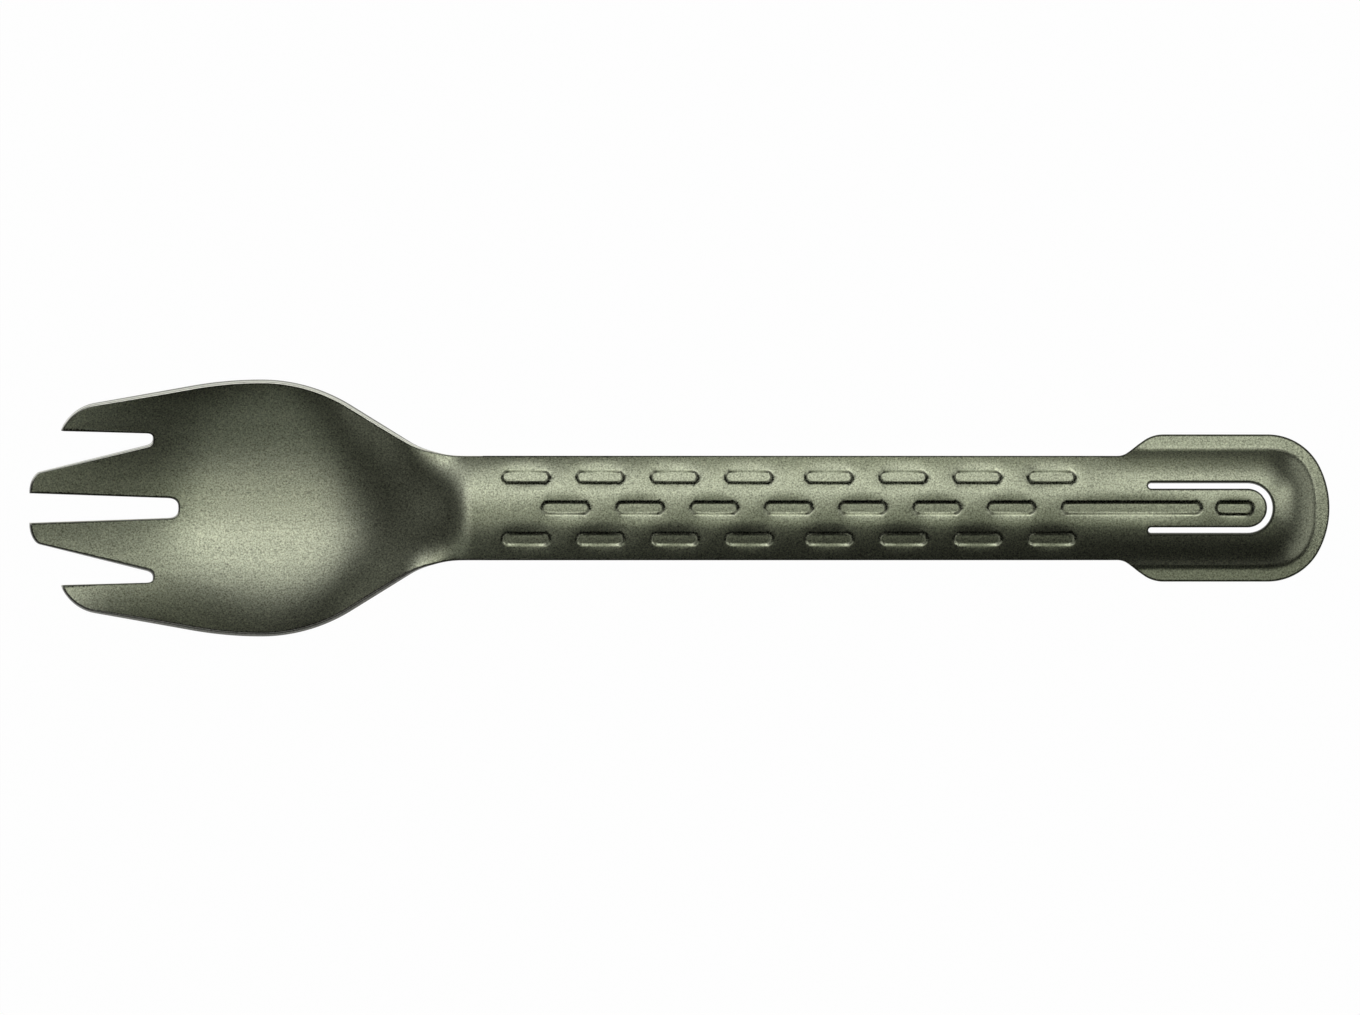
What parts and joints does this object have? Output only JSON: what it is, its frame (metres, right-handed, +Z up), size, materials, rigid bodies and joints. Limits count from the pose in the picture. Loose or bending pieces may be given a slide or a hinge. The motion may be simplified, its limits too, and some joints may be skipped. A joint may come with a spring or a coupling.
{
  "type": "spork",
  "caption": "Pressed aluminium camping spork: dished bowl with tines, arched handle with stiffening beads, flanged tail with a lanced spring tongue that clips onto another utensil.",
  "frame": {"origin": "on the table under the middle of the spork's length and width, as it lies with the bowl open upwards", "axes": "+X along the spork towards the tail, +Y across it, +Z up out of the bowl"},
  "size_m": [0.2, 0.0398, 0.0074],
  "materials": {
    "sage_aluminium": "blasted and anodised in a greyish sage green"
  },
  "bodies": {
    "spork": {"outer_tine_right": "sage_aluminium", "inner_tine_right": "sage_aluminium", "inner_tine_left": "sage_aluminium", "outer_tine_left": "sage_aluminium", "bowl": "sage_aluminium", "neck": "sage_aluminium", "handle": "sage_aluminium", "tail_cup": "sage_aluminium"},
    "tongue": {"spring_tongue": "sage_aluminium"}
  },
  "joints": [
    {"name": "tongue_flex", "type": "hinge", "parent": "spork", "child": "tongue", "pos_m": [0.0739, 0, 0.00328], "axis": [0, -1, 0], "range_deg": [-2.5, 2.5], "stiffness_Nm_per_rad": 5.5}
  ]
}
